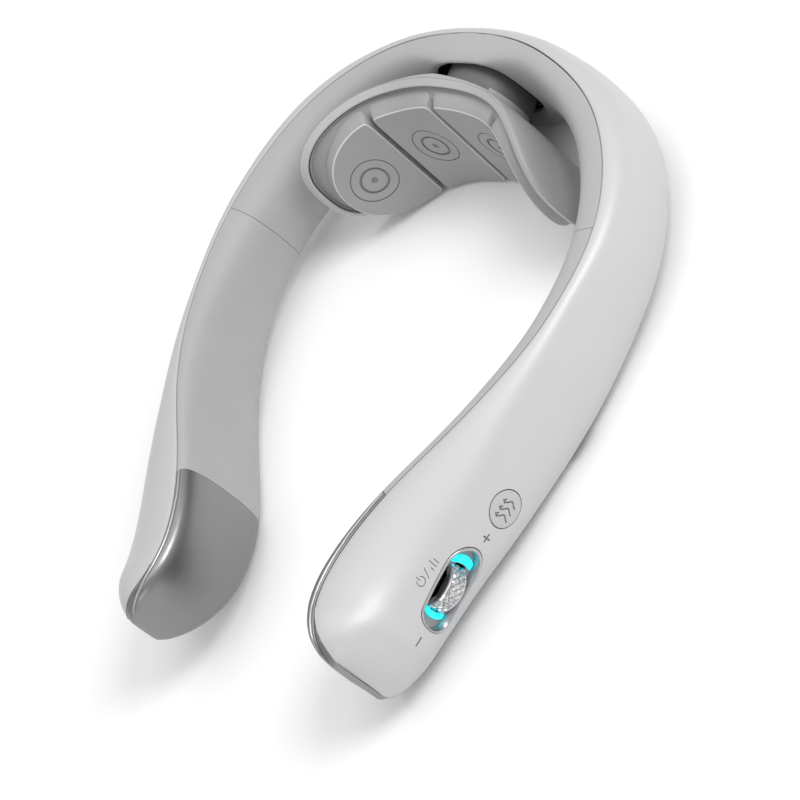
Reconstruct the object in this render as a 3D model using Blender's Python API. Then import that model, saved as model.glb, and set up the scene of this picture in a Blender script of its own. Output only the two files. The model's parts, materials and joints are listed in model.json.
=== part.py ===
"""Neck massager: a sprung U-shaped band with a floating heated massage head.

Modelled in metres.  +Z is up with the band lying flat, +Y is the rear (nape) side, the two
arm tips point toward -Y, and the +X arm carries the controls.  The origin is at the middle
of the outline in plan, at the level the band rests on.  Dimensions below are laid out from the
middle of the rear liner path, and the rear body carries everything forward by ORIGIN_Y.
"""
import math

import bmesh
import bpy
from mathutils import Vector

for old in list(bpy.data.objects):
    bpy.data.objects.remove(old, do_unlink=True)

# ------------------------------------------------------------------ driving dimensions (mm)
MM = 0.001
GAP = 0.3                    # running gap between neighbouring pieces
HALF_LENGTH = 205.0          # rear centre to arm station 1.0, along the inner face
# Lofting table, one row per eighth of the half length: heading of the inner face (degrees),
# then the offsets from the path of the inner face, the parting line and the outer skin, then
# the bottom edge, the top edge and the lean of the top edge over the bottom edge.  The bottom
# edge sits half a millimetre low at the rear and in both wings, where the flat is cut.
STATIONS = (
    (0, -5.5, 2.5, 7.5, -0.5, 34.0, 2.0),
    (29, -3.0, 5.0, 10.5, 3.0, 33.5, 1.5),
    (54, -0.5, 9.5, 17.0, 5.0, 31.0, 0.5),
    (76, 0.0, 10.5, 16.5, 5.0, 29.5, -0.5),
    (95, 0.0, 8.0, 13.0, 3.0, 30.5, -1.0),
    (113, 0.0, 5.5, 15.5, 0.5, 32.5, -1.0),
    (123, 0.0, 4.5, 23.5, -0.5, 33.5, -0.5),
    (112, 0.5, 7.5, 28.5, -0.5, 34.5, -0.5),
    (82, 2.0, 13.0, 28.5, 1.5, 36.5, 0.0),
    (60, 4.0, 20.0, 27.0, 6.0, 38.0, 0.0),
)
FLAT = 0.35                  # depth of the flat on the lower edge
SHELL_WALL = 1.6
LINER_WALL = 1.4
ELECTRODE_WALL = 1.2
OUTER_POWER = 2 / 2.3        # roundness of the outer half
INNER_POWER = 0.55           # flatness of the liner half
SEAM_S = 80.8                # rear band ends here, the arms begin
ELECTRODE_S = 160.3
TIP_END = {1: 214.5, -1: 208.0}   # end of the +X and -X arm
NOSE_OUTER = 25.0            # length over which the outer half rounds in to the end
NOSE_INNER = 54.0            # length over which the electrode half rounds out to the end
CORNER = {1: 0.0, -1: 0.8}   # how much of that lift the outer half of each tip shares
RISE_S = 158.0               # the lower inner corner of the tip lifts from here to the end

ORIGIN_Y = 81.8              # layout datum to the middle of the outline

SLOT_HALF = (14.0, 12.4)     # oval opening in the rear liner, x and z
SLOT_Z = 18.0
STEM_HALF = (12.6, 11.0)     # oval stem of the massage head
STEM_WALL = 1.6
STEM_END_Y = -1.6
SLIDE_TRAVEL = 3.4
POST_END_Y = -5.5            # stays behind the tilt yoke through the whole travel

HEAD_Y = -14.0               # rim line of the head at the centre
HEAD_Z = (0.5, 39.2)
HEAD_CROWN = 1.8
HEAD_HALF = 56.0             # along the curve
HEAD_END = 26.0              # length of the rounded end
HEAD_BEND = ((0, 0), (8, 2), (14, 10), (33, 44), (44, 54), (58, 63))   # length, turn in degrees
PAD_DEPTH = (3.1, 7.5)
PAD_Z = (1.0, 37.2)
PAD_SPLIT = 24.5
PAD_END = 50.5
PIVOT_Y = -11.3

CONTROL_S = 166.4            # middle of the wheel bezel
CONTROL_Z = 15.6
CONTROL_TILT = math.radians(-6.0)
BEZEL = (25.6, 11.0)
WHEEL_R = 6.5
WHEEL_W = 6.2
WHEEL_PROUD = 1.5
HEAT_S = 142.8
HEAT_Z = 15.7
HEAT_R = 4.9

# ------------------------------------------------------------------------------ materials
def material(name, rgb, rough, metal=0.0, alpha=1.0):
    m = bpy.data.materials.new(name)
    m.use_nodes = True
    b = m.node_tree.nodes["Principled BSDF"]
    b.inputs["Base Color"].default_value = (*rgb, 1.0)
    b.inputs["Roughness"].default_value = rough
    b.inputs["Metallic"].default_value = metal
    return m


# -------------------------------------------------------------------------- path and sections
def station(u, k):
    """Smooth value of column k at share u of the half length."""
    a = abs(u) * 8
    i = min(int(a), len(STATIONS) - 2)
    t = a - i

    def row(n):
        if n < 0:
            return -STATIONS[-n][k] if k == 0 else STATIONS[-n][k]
        n = min(n, len(STATIONS) - 1)
        return STATIONS[n][k]

    p0, p1, p2, p3 = row(i - 1), row(i), row(i + 1), row(i + 2)
    m1, m2 = (p2 - p0) / 2, (p3 - p1) / 2
    t2, t3 = t * t, t * t * t
    return (2*t3 - 3*t2 + 1)*p1 + (t3 - 2*t2 + t)*m1 + (-2*t3 + 3*t2)*p2 + (t3 - t2)*m2


STEP = 1 / 800
PATH = [(0.0, 0.0)]
for n in range(int(1.1 / STEP)):
    h = math.radians(station((n + 0.5) * STEP, 0))
    x, y = PATH[-1]
    PATH.append((x + math.cos(h) * STEP * HALF_LENGTH, y - math.sin(h) * STEP * HALF_LENGTH))


def path(u):
    a = min(abs(u) / STEP, len(PATH) - 1.001)
    i = int(a)
    t = a - i
    return (PATH[i][0]*(1 - t) + PATH[i + 1][0]*t, PATH[i][1]*(1 - t) + PATH[i + 1][1]*t)


def band(u, n, z):
    """Point at share u, offset n outward from the inner face, height z (mm); u < 0 is the -X side."""
    x, y = path(u)
    h = math.radians(station(u, 0))
    s = 1.0 if u >= 0 else -1.0
    return Vector((s * (x + n * math.sin(h)), y + n * math.cos(h), z))


def frame(u, side=1.0):
    """Tangent toward the tip and outward normal at share u."""
    h = math.radians(station(u, 0))
    return Vector((side*math.cos(h), -math.sin(h), 0)), Vector((side*math.sin(h), math.cos(h), 0))


def skin(s_mm, z, depth=0.0, side=1.0):
    """Point and frame on the outer skin at length s: origin, along, outward."""
    u = s_mm / HALF_LENGTH
    slope = (station(u + 0.01, 3) - station(u - 0.01, 3)) / (0.02 * HALF_LENGTH)
    t, n = frame(u, side)
    along = (t + n * slope).normalized()
    out = (n - t * slope).normalized()
    p = band(u * side if side < 0 else u, station(u, 3), z) - out * depth
    return p, along, out


def fade(v, lo, hi, power):
    if v <= lo:
        return 1.0
    return max(0.0, 1 - ((v - lo) / (hi - lo)) ** power) ** (1 / power)


def section(u, half, count, inset=0.0, back=0.0):
    """Half section from the top edge to the bottom edge; half +1 is the outer side."""
    s_mm = abs(u) * HALF_LENGTH
    inner, part, outer, lo, hi, lean = (station(u, k) for k in range(1, 7))
    end = TIP_END[1 if u >= 0 else -1]
    close = fade(s_mm, end - (NOSE_OUTER if half > 0 else NOSE_INNER), end + 0.8, 2.4 if half > 0 else 1.55)
    shut = fade(s_mm, end - 24, end + 2.0, 3.0)
    zc, h = (lo + hi) / 2, (hi - lo) / 2 * shut - inset
    rise = 0.0
    if s_mm > RISE_S:
        rise = 1.8 * (1 - math.sqrt(max(0.0, 1 - ((s_mm - RISE_S) / (end - RISE_S)) ** 2)))
    out = []
    for j in range(count):
        a = math.pi/2 - math.pi * j / (count - 1)
        s, c = math.sin(a), abs(math.cos(a)) if 0 < j < count - 1 else 0.0
        sz = math.copysign(abs(s) ** OUTER_POWER, s)
        if half > 0:
            share = c ** OUTER_POWER
            n = part + back + max(0.3, (outer - part) * close - inset - back) * share
            low = h * (1 - CORNER[1 if u >= 0 else -1] * min(rise, 0.9)) if s < 0 else h
            z = zc + low * sz
        else:
            share = c ** INNER_POWER
            n = part - back - max(0.3, (part - inner) * close - inset - back) * share
            keep = CORNER[1 if u >= 0 else -1]
            low = h * (1 - min(rise, 0.9) * (keep + (1 - keep) * share)) if s < 0 else h
            z = zc + low * sz
        n += lean * sz / 2
        out.append(band(u, n, max(z, FLAT) - FLAT))
    return out


# ------------------------------------------------------------------------------ mesh building
PARENT = {}


def empty(name, at_mm, parent=None):
    e = bpy.data.objects.new(name, None)
    bpy.context.scene.collection.objects.link(e)
    world = Vector(at_mm) * MM
    e["world"] = list(world)
    if parent is not None:
        e.parent = parent
        e.location = world - Vector(parent["world"])
    else:
        e.location = world
    return e


def build(name, verts, faces, mat, parent, sharp=35.0):
    """Closed mesh in the parent's frame from points in mm."""
    origin = Vector(parent["world"]) if parent is not None else Vector((0, 0, 0))
    me = bpy.data.meshes.new(name)
    me.from_pydata([tuple(Vector(v) * MM - origin) for v in verts], [], [tuple(f) for f in faces])
    me.validate()
    bm = bmesh.new()
    bm.from_mesh(me)
    bmesh.ops.recalc_face_normals(bm, faces=bm.faces)
    bm.to_mesh(me)
    bm.free()
    if mat is not None:
        me.materials.append(mat)
    me.shade_smooth()
    me.set_sharp_from_angle(angle=math.radians(sharp))
    o = bpy.data.objects.new(name, me)
    bpy.context.scene.collection.objects.link(o)
    o.parent = parent
    return o


def shell_body(O, I):
    """Closed wall from outer loops O and inner loops I (None where the wall is solid)."""
    verts, faces = [], []
    m = len(O[0])

    def put(loop):
        k = len(verts)
        verts.extend(loop)
        return list(range(k, k + len(loop)))

    o = [put(r) for r in O]
    i = [None if r is None else put(r) for r in I]
    for k in range(len(o) - 1):
        for j in range(m - 1):
            faces.append((o[k][j], o[k][j+1], o[k+1][j+1], o[k+1][j]))
        a, b = i[k], i[k+1]
        if a and b:
            for j in range(m - 1):
                faces.append((a[j], b[j], b[j+1], a[j+1]))
            faces.append((o[k][0], o[k+1][0], b[0], a[0]))
            faces.append((o[k][-1], a[-1], b[-1], o[k+1][-1]))
        elif not a and not b:
            faces.append((o[k][0], o[k+1][0], o[k+1][-1], o[k][-1]))
        elif a:
            faces.append((o[k][0], o[k+1][0], a[0]))
            faces.append((a[0], o[k+1][0], o[k+1][-1], a[-1]))
            faces.append((a[-1], o[k+1][-1], o[k][-1]))
            faces.append(tuple(a))
        else:
            faces.append((o[k][0], o[k+1][0], b[0]))
            faces.append((b[0], b[-1], o[k][-1], o[k][0]))
            faces.append((b[-1], o[k+1][-1], o[k][-1]))
            faces.append(tuple(b))
    for k in (0, len(o) - 1):
        if i[k]:
            for j in range(m - 1):
                faces.append((o[k][j], i[k][j], i[k][j+1], o[k][j+1]))
        else:
            faces.append(tuple(o[k]))
    return verts, faces


def sweep_body(loops, closed=False):
    """Solid through a run of closed outlines, capped unless the run itself closes."""
    verts, faces = [], []
    m = len(loops[0])
    for r in loops:
        verts.extend(r)
    n = len(loops)
    for k in range(n if closed else n - 1):
        a, b = k * m, ((k + 1) % n) * m
        for j in range(m):
            q = (j + 1) % m
            faces.append((a + j, a + q, b + q, b + j))
    if not closed:
        faces.append(tuple(range(m)))
        faces.append(tuple(range((n - 1) * m, n * m)))
    return verts, faces


def lofted(loops_out, loops_in):
    """Tube with a wall: outer and inner closed outlines at each level."""
    ring = []
    for a in range(len(loops_out[0])):
        ring.append([lp[a] for lp in loops_out] + [lp[a] for lp in reversed(loops_in)])
    return sweep_body(ring, closed=True)


def circle(c, ax, ay, r, n, r2=None):
    r2 = r if r2 is None else r2
    return [c + ax * (r * math.cos(2*math.pi*k/n)) + ay * (r2 * math.sin(2*math.pi*k/n)) for k in range(n)]


def stadium(c, ax, ay, length, width, n):
    """Slot outline: straight sides with round ends, n points per end."""
    r, half = width / 2, (length - width) / 2
    pts = []
    for side in (1, -1):
        for k in range(n):
            a = -math.pi/2 + math.pi * k / (n - 1)
            pts.append(c + ax * (side * (half + r * math.cos(a))) + ay * (side * r * math.sin(a)))
    return pts


def rod(name, c, axis, r, length, n, mat, parent, sharp=35.0):
    axis = axis.normalized()
    ax = axis.orthogonal().normalized()
    ay = axis.cross(ax)
    return build(name, *sweep_body([circle(c, ax, ay, r, n), circle(c + axis*length, ax, ay, r, n)]), mat, parent, sharp)


def slab(name, c, ax, ay, az, lx, ly, lz, mat, parent):
    """Block with its centre at c."""
    q = [c + ax*(sx*lx/2) + ay*(sy*ly/2) - az*(lz/2) for sx, sy in ((-1, -1), (1, -1), (1, 1), (-1, 1))]
    return build(name, *sweep_body([q, [p + az*lz for p in q]]), mat, parent)


def cutter(o):
    o.hide_render = True
    o.display_type = "WIRE"
    return o


def cut(o, tool, op="DIFFERENCE"):
    m = o.modifiers.new(op.lower() + "_" + tool.name, "BOOLEAN")
    m.object = tool
    m.operation = op
    m.solver = "EXACT"


X, Y, Z = Vector((1, 0, 0)), Vector((0, 1, 0)), Vector((0, 0, 1))

# ---------------------------------------------------------------------------------- materials
PEARL = material("pearl_shell", (0.62, 0.62, 0.63), 0.32)
GREY = material("grey_silicone", (0.36, 0.36, 0.37), 0.6)
HEADG = material("head_grey", (0.34, 0.34, 0.35), 0.45)
PADM = material("pad_grey", (0.30, 0.30, 0.31), 0.5)
STEEL = material("satin_steel", (0.50, 0.50, 0.51), 0.28, 1.0)
CHROME = material("chrome", (0.75, 0.75, 0.76), 0.12, 1.0)
SPRING = material("spring_steel", (0.42, 0.42, 0.44), 0.35, 1.0)
NYLON = material("nylon", (0.75, 0.75, 0.72), 0.5)
BLACK = material("black_plastic", (0.03, 0.03, 0.03), 0.5)
BOARD = material("circuit_board", (0.02, 0.18, 0.09), 0.45)
AMBER = material("polyimide_film", (0.55, 0.26, 0.04), 0.35)
CYAN = material("cyan_diffuser", (0.0, 0.72, 0.80), 0.3)
WRAP = material("cell_wrap", (0.10, 0.22, 0.55), 0.4)

# --------------------------------------------------------------------------- bodies (empties)
SEAM_U = SEAM_S / HALF_LENGTH
rear = empty("rear_band_body", (0, 0, 0))
hinge_n = station(SEAM_U, 3)
arm_pivot = {s: band(s * SEAM_U, hinge_n, 17.0) for s in (1, -1)}
right = empty("right_arm_body", arm_pivot[1], rear)
left = empty("left_arm_body", arm_pivot[-1], rear)
slide = empty("head_slide_body", (0, PIVOT_Y, SLOT_Z), rear)
tilt = empty("head_tilt_body", (0, PIVOT_Y, SLOT_Z), slide)

# ----------------------------------------------------------------------- rear band and its liner
def ease(k, n, lo, hi):
    return lo + (hi - lo) * k / n


REAR_N = 20
rear_us = [ease(k, REAR_N, -SEAM_U + GAP/2/HALF_LENGTH, SEAM_U - GAP/2/HALF_LENGTH) for k in range(REAR_N + 1)]
build("rear_outer_shell", *shell_body([section(u, 1, 11) for u in rear_us],
                                      [section(u, 1, 11, SHELL_WALL) for u in rear_us]), PEARL, rear)
liner = build("rear_liner", *shell_body([section(u, -1, 11, 0, GAP) for u in rear_us],
                                        [section(u, -1, 11, LINER_WALL, GAP) for u in rear_us]), GREY, rear)
c0 = Vector((0, -12, SLOT_Z))
slot = cutter(build("slot_cutter", *sweep_body([circle(c0, X, Z, SLOT_HALF[0], 28, SLOT_HALF[1]),
                                                 circle(c0 + Y*12, X, Z, SLOT_HALF[0], 28, SLOT_HALF[1])]), None, rear))
cut(liner, slot)

# Flat spring that gives the band its grip, lying against the outer shell.
strip = []
for k in range(21):
    u = ease(k, 20, -0.372, 0.372)
    n = station(u, 3) - SHELL_WALL - 0.9 - 0.7 * min(1.0, abs(u) / 0.1)
    strip.append([band(u, n, 13.0), band(u, n - 0.4, 13.0), band(u, n - 0.4, 22.0), band(u, n, 22.0)])
build("spring_strip", *sweep_body(strip), SPRING, rear)

# ------------------------------------------------------------- guide of the floating head
GY = 2.2                                       # front face of the guide plate
base = slab("guide_plate", Vector((0, GY + 0.5, 18.0)), X, Z, Y, 22.6, 15, 1.0, NYLON, rear)
post = cutter(build("guide_post_tool", *lofted(
    [circle(Vector((0, y, SLOT_Z)), X, Z, 3.5, 20) for y in (GY + 0.5, POST_END_Y)],
    [circle(Vector((0, y, SLOT_Z)), X, Z, 2.2, 20) for y in (GY + 0.5, POST_END_Y)]), None, rear))
cut(base, post, "UNION")
for n, x in (("right", 9.1), ("left", -9.1)):   # heads clear the stem wall and the spring
    hole = cutter(build("screw_hole_" + n, *sweep_body([circle(Vector((x, y, SLOT_Z)), X, Z, 1.2, 16) for y in (GY - 3, GY + 3)]), None, rear))
    cut(base, hole)
    cc = Vector((x, GY - 1.5, SLOT_Z))
    build("rear_screw_" + n, *sweep_body([circle(cc, X, Z, 1.6, 14), circle(cc + Y*1.2, X, Z, 1.6, 14),
                                          circle(cc + Y*1.21, X, Z, 0.9, 14), circle(cc + Y*2.4, X, Z, 0.9, 14)]), STEEL, rear)

# Return spring around the guide, between the plate and the carrier flange.
coil = []
TURNS, PER, WIRE_R, COIL_R = 3.5, 14, 0.45, 6.6
y0, y1 = GY - 0.85, -5.3
for k in range(int(TURNS * PER) + 1):
    a = 2 * math.pi * k / PER
    f = k / (TURNS * PER)
    c = Vector((COIL_R * math.cos(a), y0 + (y1 - y0) * f, SLOT_Z + COIL_R * math.sin(a)))
    r = Vector((math.cos(a), 0, math.sin(a)))
    coil.append([c + r*(WIRE_R*math.cos(q)) + Y*(WIRE_R*math.sin(q)) for q in (0, math.pi*2/5, math.pi*4/5, math.pi*6/5, math.pi*8/5)])
build("return_spring", *sweep_body(coil), SPRING, rear)

# Carrier tube that slides on the post and holds the tilt pin.
tube_levels = (-1.6, -6.3, -6.3, -7.4, -7.4, -9.4)
tube_r = (5.2, 5.2, 7.6, 7.6, 5.2, 5.2)
carrier = build("slide_carrier", *lofted(
    [circle(Vector((0, y - 0.002*k, SLOT_Z)), X, Z, r, 20) for k, (y, r) in enumerate(zip(tube_levels, tube_r))],
    [circle(Vector((0, y - 0.002*k, SLOT_Z)), X, Z, 3.9, 20) for k, y in enumerate(tube_levels)]), NYLON, slide)
yoke = cutter(slab("yoke_tool", Vector((0, -11.15, SLOT_Z)), X, Z, Y, 12, 9, 3.9, None, slide))
cut(carrier, yoke, "UNION")
pin_hole = cutter(rod("pin_hole", Vector((-14, PIVOT_Y, SLOT_Z)), X, 1.3, 28, 14, None, slide))
cut(carrier, pin_hole)
rod("tilt_pin", Vector((-10.4, PIVOT_Y, SLOT_Z)), X, 1.0, 20.8, 14, STEEL, slide)

# ------------------------------------------------------------------------------ massage head
HB = HEAD_BEND
HSTEP = 0.25
HPATH = [(0.0, HEAD_Y)]


def bend(s):
    s = abs(s)
    for (a, pa), (b, pb) in zip(HB, HB[1:]):
        if s <= b:
            return math.radians(pa + (pb - pa) * (s - a) / (b - a))
    return math.radians(HB[-1][1])


for k in range(int(60 / HSTEP)):
    a = bend((k + 0.5) * HSTEP)
    HPATH.append((HPATH[-1][0] + math.cos(a)*HSTEP, HPATH[-1][1] - math.sin(a)*HSTEP))


def head(s, d, z):
    """Point on the head: s along its curve from the centre, d toward the neck, z up."""
    a = min(abs(s) / HSTEP, len(HPATH) - 1.001)
    i, t = int(a), a - int(a)
    x = HPATH[i][0]*(1 - t) + HPATH[i + 1][0]*t
    y = HPATH[i][1]*(1 - t) + HPATH[i + 1][1]*t
    # the bend is averaged over a few millimetres so that the face stays smooth
    q = (bend(abs(s) - 2) + bend(abs(s)) + bend(abs(s) + 2)) / 3 if abs(s) > 2 else bend(s)
    side = 1.0 if s >= 0 else -1.0
    return Vector((side * (x - d * math.sin(q)), y - d * math.cos(q), z))


def head_z(s, inset=0.0):
    """Bottom and top of the head outline at s."""
    a = abs(s)
    zc, h = (HEAD_Z[0] + HEAD_Z[1]) / 2, (HEAD_Z[1] - HEAD_Z[0]) / 2 - inset
    end = HEAD_HALF - inset
    start = HEAD_HALF - HEAD_END
    if a > start:
        h *= math.sqrt(max(0.0, 1 - ((a - start) / (end - start)) ** 2))
    crown = HEAD_CROWN * math.cos(math.pi * a / 36) ** 2 if a < 18 else 0.0
    return zc - h, zc + h + crown


def spread(values):
    return [-v for v in reversed(values) if v > 0] + list(values)


HS = spread([0, 6, 12, 18, 24, 30, 36, 42, 47.5, 51.5, 54, 55.7])
DISH_WALL = 1.4


def dish(s, inset):
    lo, hi = head_z(s, inset)
    back = 4.2 - 2.6 * min(1.0, abs(s) / 22)
    back *= math.sqrt(max(0.03, 1 - max(0.0, (abs(s) - 30) / 26.2) ** 2))
    loop = []
    for j in range(9):
        a = math.pi/2 - math.pi * j / 8
        c = abs(math.cos(a)) if 0 < j < 8 else 0.0
        loop.append(head(s, -max(0.15, back - inset) * c ** 0.8 + 0.2, (lo + hi)/2 + (hi - lo)/2 * math.copysign(abs(math.sin(a)) ** 0.85, math.sin(a))))
    return loop


back_cover = build("head_back_cover", *shell_body([dish(s, 0) for s in HS],
                   [dish(s, DISH_WALL) if abs(s) < 50 else None for s in HS]), HEADG, tilt)
sc = Vector((0, 0, SLOT_Z))
stem = cutter(build("stem_tool", *lofted(
    [circle(sc + Y*y, X, Z, STEM_HALF[0], 28, STEM_HALF[1]) for y in (-11.6, STEM_END_Y)],
    [circle(sc + Y*y, X, Z, STEM_HALF[0] - STEM_WALL, 28, STEM_HALF[1] - STEM_WALL) for y in (-11.6, STEM_END_Y)]), None, tilt))
cut(back_cover, stem, "UNION")
bore = cutter(build("stem_bore_tool", *sweep_body(
    [circle(sc + Y*y, X, Z, STEM_HALF[0] - STEM_WALL, 28, STEM_HALF[1] - STEM_WALL) for y in (-13.0, 2.0)]), None, tilt))
cut(back_cover, bore)

# Rim: a narrow ring on the outline of the head.
def outline(inset, n=56):
    """Closed outline of the head as (s, z), starting at the +X end."""
    pts = []
    for k in range(n):
        a = 2 * math.pi * k / n
        s = (HEAD_HALF - inset) * math.copysign(abs(math.cos(a)) ** 0.72, math.cos(a))
        s = max(-(HEAD_HALF - inset) + 0.02, min(HEAD_HALF - inset - 0.02, s))
        lo, hi = head_z(s, inset)
        if abs(math.sin(a)) < 1e-6:
            z = (lo + hi) / 2
        else:
            z = hi if math.sin(a) > 0 else lo
        pts.append((s, z))
    return pts


RIM_D = (0.5, 2.0)
o_out, o_in = outline(0.1), outline(2.3)
ring = [[head(a[0], RIM_D[0], a[1]), head(a[0], RIM_D[1], a[1]), head(b[0], RIM_D[1], b[1]), head(b[0], RIM_D[0], b[1])]
        for a, b in zip(o_out, o_in)]
build("head_rim", *sweep_body(ring, closed=True), HEADG, tilt)


def curved_plate(name, d0, d1, inset, stations_s, mat, zclip=None):
    loops = []
    for s in stations_s:
        lo, hi = head_z(s, inset)
        if zclip:
            lo, hi = max(lo, zclip[0]), min(hi, zclip[1])
        loops.append([head(s, d0, lo), head(s, d1, lo), head(s, d1, hi), head(s, d0, hi)])
    return build(name, *sweep_body(loops), mat, tilt)


PS = spread([0, 6, 12, 18, 24, 30, 36, 42, 47, 50.5, 52.6])
curved_plate("head_front_plate", 1.5, 2.8, 2.7, PS, HEADG)
curved_plate("heater_film", 0.75, 1.05, 4.5, spread([0, 6, 12, 18, 24, 30, 36, 41, 46]), AMBER)


def pad(name, side, s0, s1, cols):
    loops = []
    for k in range(cols + 1):
        s = s0 + (s1 - s0) * k / cols
        lo, hi = PAD_Z
        edge = 0.0
        if s1 > 40:
            a, b = head_z(s, 4.0)
            r = 9.0
            if s > s1 - r:
                q = r - math.sqrt(max(0.0, r*r - (s - (s1 - r)) ** 2))
                lo, hi = lo + q, hi - q
            lo, hi = max(lo, a + 0.6), min(hi, b - 0.6)
        if k in (0, cols):
            edge = 0.9
        loops.append([head(side*s, PAD_DEPTH[0], lo), head(side*s, PAD_DEPTH[1] - 1.2 - edge/2, lo),
                      head(side*s, PAD_DEPTH[1] - edge, lo + 1.4), head(side*s, PAD_DEPTH[1] - edge, hi - 2.2),
                      head(side*s, PAD_DEPTH[1] - 1.6 - edge/2, hi), head(side*s, PAD_DEPTH[0], hi)])
    return build(name, *sweep_body(loops), PADM, tilt)


for sd, tag in ((1, "right"), (-1, "left")):
    pad("pad_inner_" + tag, sd, 0.7, PAD_SPLIT - 0.8, 6)
    pad("pad_outer_" + tag, sd, PAD_SPLIT + 0.8, PAD_END, 8)
slab("head_board", Vector((0, -13.95, 20.0)), X, Z, Y, 23, 15, 0.6, BOARD, tilt)

# ------------------------------------------------------------------------------------- arms
def arm_us(lo, hi, nose=False):
    if not nose:
        return [ease(k, 9, lo, hi) / HALF_LENGTH for k in range(10)]
    pts = [ease(k, 14, lo, hi - 24) for k in range(15)] + [hi - q for q in (20, 16, 12.5, 9, 6.3, 4, 2.1, 0.7, 0)]
    return [p / HALF_LENGTH for p in pts]


arms = {}
for sd, tag, body in ((1, "right", right), (-1, "left", left)):
    end = TIP_END[sd]
    us = [sd * u for u in arm_us(SEAM_S + GAP/2, end, True)]
    inner_ok = (end - 8.5) / HALF_LENGTH
    arms[tag] = build(tag + "_arm_shell", *shell_body(
        [section(u, 1, 11) for u in us],
        [section(u, 1, 11, SHELL_WALL) if abs(u) < inner_ok else None for u in us]), PEARL, body)
    ls = [sd * u for u in arm_us(SEAM_S + GAP/2, ELECTRODE_S - GAP)]
    build(tag + "_arm_liner", *shell_body([section(u, -1, 9, 0, GAP) for u in ls],
                                          [section(u, -1, 9, LINER_WALL, GAP) for u in ls]), GREY, body)
    es = [ease(k, 4, ELECTRODE_S, end - 24) for k in range(5)] + [end - q for q in (19.5, 15.5, 12, 9, 6.3, 4, 2.1, 0.7, 0)]
    es = [sd * e / HALF_LENGTH for e in es]
    build(tag + "_tip_electrode", *shell_body(
        [section(u, -1, 11, 0, GAP) for u in es],
        [section(u, -1, 11, ELECTRODE_WALL, GAP) if abs(u) < (end - 13) / HALF_LENGTH else None for u in es]), STEEL, body)

# --------------------------------------------------------------------- controls (+X arm)
shell_r = arms["right"]
P, T0, N0 = skin(CONTROL_S, CONTROL_Z)
T = (T0 * math.cos(CONTROL_TILT) + Z * math.sin(CONTROL_TILT)).normalized()
V = N0.cross(T).normalized()                   # across the bezel
wheel_c = P - N0 * (WHEEL_R - WHEEL_PROUD)
press = empty("wheel_press_body", wheel_c, right)
spin = empty("wheel_spin_body", wheel_c, press)
heat_p, heat_t, heat_n = skin(HEAT_S, HEAT_Z)
heat_v = heat_n.cross(heat_t).normalized()
button_body = empty("heat_button_body", heat_p, right)

cut(shell_r, cutter(build("bezel_cutter", *sweep_body([stadium(P + N0*d, T, V, BEZEL[0] + 0.6, BEZEL[1] + 0.6, 9) for d in (-6, 4)]), None, right)))
build("control_bezel", *lofted([stadium(P + N0*d, T, V, BEZEL[0], BEZEL[1], 9) for d in (-2.6, 0.25)],
                               [stadium(P + N0*d, T, V, BEZEL[0] - 2.4, BEZEL[1] - 2.4, 9) for d in (-2.6, 0.25)]), PEARL, right)
cut(shell_r, cutter(build("heat_cutter", *sweep_body([circle(heat_p + heat_n*d, heat_t, heat_v, HEAT_R + 0.35, 24) for d in (-6, 4)]), None, right)))
build("heat_button", *sweep_body([circle(heat_p + heat_n*d, heat_t, heat_v, r, 24) for d, r in ((-3.0, 2.0), (-1.8, 2.01), (-1.79, HEAT_R), (0.2, HEAT_R), (0.5, HEAT_R - 0.5))]), PEARL, button_body)

# Knurled thumb wheel on its axle, in a carrier that presses a switch.
knurl_o, TEETH = [], 24
for lvl in (-WHEEL_W/2, WHEEL_W/2):
    loop = []
    for k in range(TEETH * 2):
        a = math.pi * k / TEETH
        r = WHEEL_R if k % 2 == 0 else WHEEL_R - 0.45
        loop.append(wheel_c + V*lvl + T*(r*math.cos(a)) + N0*(r*math.sin(a)))
    knurl_o.append(loop)
knurl_i = [circle(wheel_c + V*lvl, T, N0, 1.5, TEETH*2) for lvl in (-WHEEL_W/2, WHEEL_W/2)]
build("scroll_wheel", *lofted(knurl_o, knurl_i), CHROME, spin)
rod("wheel_axle", wheel_c - V*4.9, V, 1.1, 9.8, 14, STEEL, press)
# U-shaped carrier: a floor with two cheeks that hold the axle ends.
fl = wheel_c - N0*(WHEEL_R + 0.9)
cheek_h, cheek_w, ck = 8.6, 5.0, 0.9
inner_w = WHEEL_W/2 + 0.35
prof = [(-inner_w - ck, -0.6), (inner_w + ck, -0.6), (inner_w + ck, cheek_h), (inner_w, cheek_h), (inner_w, 0.4), (-inner_w, 0.4), (-inner_w, cheek_h), (-inner_w - ck, cheek_h)]
carr = build("wheel_carrier", *sweep_body([[fl + T*t + V*a + N0*b for a, b in prof] for t in (-cheek_w/2, cheek_w/2)]), NYLON, press)
cut(carr, cutter(rod("axle_hole", wheel_c - V*7, V, 1.4, 14, 14, None, press)))
slab("wheel_switch", fl - N0*1.9, T, V, N0, 4.4, 4.4, 1.8, BLACK, right)
slab("heat_switch", heat_p - heat_n*5.1, heat_t, heat_v, heat_n, 4.0, 4.0, 2.0, BLACK, right)
for nm, sg in (("upper", -1), ("lower", 1)):
    arc_o, arc_i = [], []
    r_o, r_i = BEZEL[1]/2 - 1.6, BEZEL[1]/2 - 3.9
    cc = P + T*(sg*(BEZEL[0] - BEZEL[1])/2)
    pts = []
    for k in range(9):
        a = -math.pi/2*0.8 + math.pi*0.8 * k / 8
        pts.append((r_o*math.cos(a), r_o*math.sin(a)))
    for k in range(8, -1, -1):
        a = -math.pi/2*0.8 + math.pi*0.8 * k / 8
        pts.append((r_i*math.cos(a), r_i*math.sin(a)))
    build(nm + "_light_guide", *sweep_body([[cc + T*(sg*a) + V*b + N0*d for a, b in pts] for d in (-3.6, -0.7)]), CYAN, right)

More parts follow.
